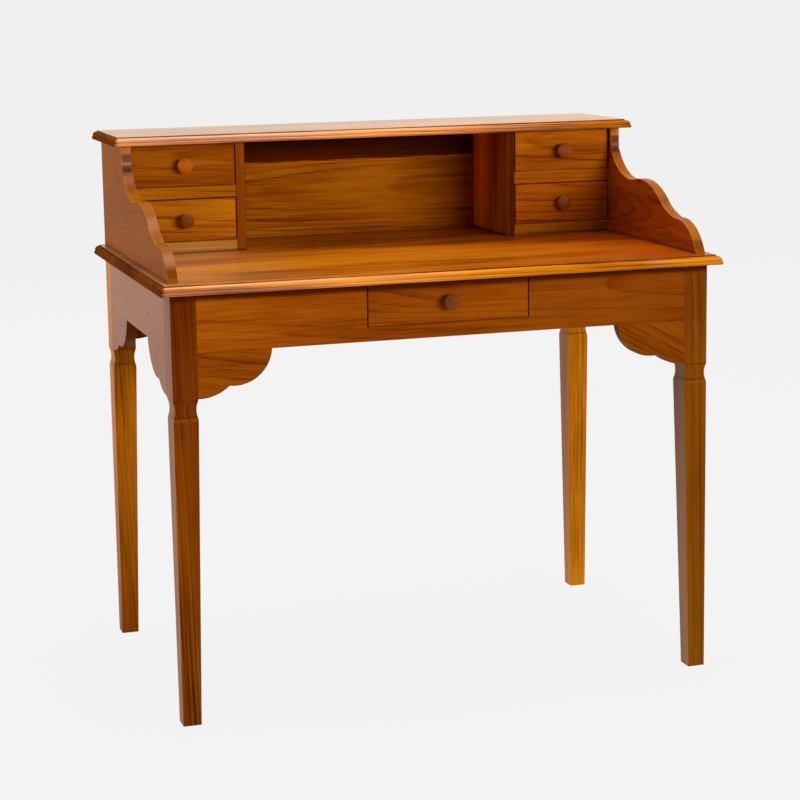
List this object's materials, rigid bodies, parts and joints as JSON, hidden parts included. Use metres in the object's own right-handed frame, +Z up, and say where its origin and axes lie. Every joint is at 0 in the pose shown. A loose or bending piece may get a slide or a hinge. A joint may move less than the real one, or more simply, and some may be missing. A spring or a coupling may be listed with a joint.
{
  "type": "writing desk with drawer gallery",
  "caption": "Varnished wooden writing desk on tapered legs, with scrolled aprons, a moulded top and a low gallery of small drawers beside an open pigeonhole.",
  "frame": {"origin": "on the floor, under the middle of the desktop's outline", "axes": "+Z up, -Y towards the sitter, +X to the sitter's right"},
  "size_m": [1, 0.624, 0.965],
  "materials": {
    "board_wood": "semi-gloss varnish",
    "frame_wood": "semi-gloss varnish",
    "drawer_front": "semi-gloss varnish",
    "turned_knob": "semi-gloss varnish",
    "drawer_lining": "plain sanded",
    "inner_wood": "plain sanded"
  },
  "bodies": {
    "carcase": {"back_apron": "frame_wood", "back_brackets": "frame_wood", "centre_drawer_runners": "inner_wood", "centre_drawer_stops": "inner_wood", "desktop": "board_wood", "desktop_glue_blocks": "inner_wood", "front_apron": "frame_wood", "front_brackets": "frame_wood", "gallery_top": "board_wood", "left_apron": "frame_wood", "left_base_rail": "board_wood", "left_brackets": "frame_wood", "left_divider": "board_wood", "left_drawer_runners": "inner_wood", "left_gallery_side": "board_wood", "left_mid_rail": "board_wood", "leg_back_left": "frame_wood", "leg_back_right": "frame_wood", "leg_front_left": "frame_wood", "leg_front_right": "frame_wood", "lower_back_board": "board_wood", "right_apron": "frame_wood", "right_base_rail": "board_wood", "right_brackets": "frame_wood", "right_divider": "board_wood", "right_drawer_runners": "inner_wood", "right_gallery_side": "board_wood", "right_mid_rail": "board_wood", "upper_back_board": "board_wood"},
    "upper_left_drawer": {"upper_left_drawer_front": "drawer_front", "upper_left_drawer_left_side": "drawer_lining", "upper_left_drawer_right_side": "drawer_lining", "upper_left_drawer_back": "drawer_lining", "upper_left_drawer_bottom": "drawer_lining", "upper_left_drawer_knob": "turned_knob"},
    "lower_left_drawer": {"lower_left_drawer_front": "drawer_front", "lower_left_drawer_left_side": "drawer_lining", "lower_left_drawer_right_side": "drawer_lining", "lower_left_drawer_back": "drawer_lining", "lower_left_drawer_bottom": "drawer_lining", "lower_left_drawer_knob": "turned_knob"},
    "upper_right_drawer": {"upper_right_drawer_front": "drawer_front", "upper_right_drawer_left_side": "drawer_lining", "upper_right_drawer_right_side": "drawer_lining", "upper_right_drawer_back": "drawer_lining", "upper_right_drawer_bottom": "drawer_lining", "upper_right_drawer_knob": "turned_knob"},
    "lower_right_drawer": {"lower_right_drawer_front": "drawer_front", "lower_right_drawer_left_side": "drawer_lining", "lower_right_drawer_right_side": "drawer_lining", "lower_right_drawer_back": "drawer_lining", "lower_right_drawer_bottom": "drawer_lining", "lower_right_drawer_knob": "turned_knob"},
    "centre_drawer": {"centre_drawer_front": "drawer_front", "centre_drawer_left_side": "drawer_lining", "centre_drawer_right_side": "drawer_lining", "centre_drawer_back": "drawer_lining", "centre_drawer_bottom": "drawer_lining", "centre_drawer_knob": "turned_knob"}
  },
  "joints": [
    {"name": "upper_left_drawer_slide", "type": "slide", "parent": "carcase", "child": "upper_left_drawer", "axis": [0, -1, 0], "range_m": [0, 0.14]},
    {"name": "lower_left_drawer_slide", "type": "slide", "parent": "carcase", "child": "lower_left_drawer", "axis": [0, -1, 0], "range_m": [0, 0.14]},
    {"name": "upper_right_drawer_slide", "type": "slide", "parent": "carcase", "child": "upper_right_drawer", "axis": [0, -1, 0], "range_m": [0, 0.14]},
    {"name": "lower_right_drawer_slide", "type": "slide", "parent": "carcase", "child": "lower_right_drawer", "axis": [0, -1, 0], "range_m": [0, 0.14]},
    {"name": "centre_drawer_slide", "type": "slide", "parent": "carcase", "child": "centre_drawer", "axis": [0, -1, 0], "range_m": [0, 0.32]}
  ]
}
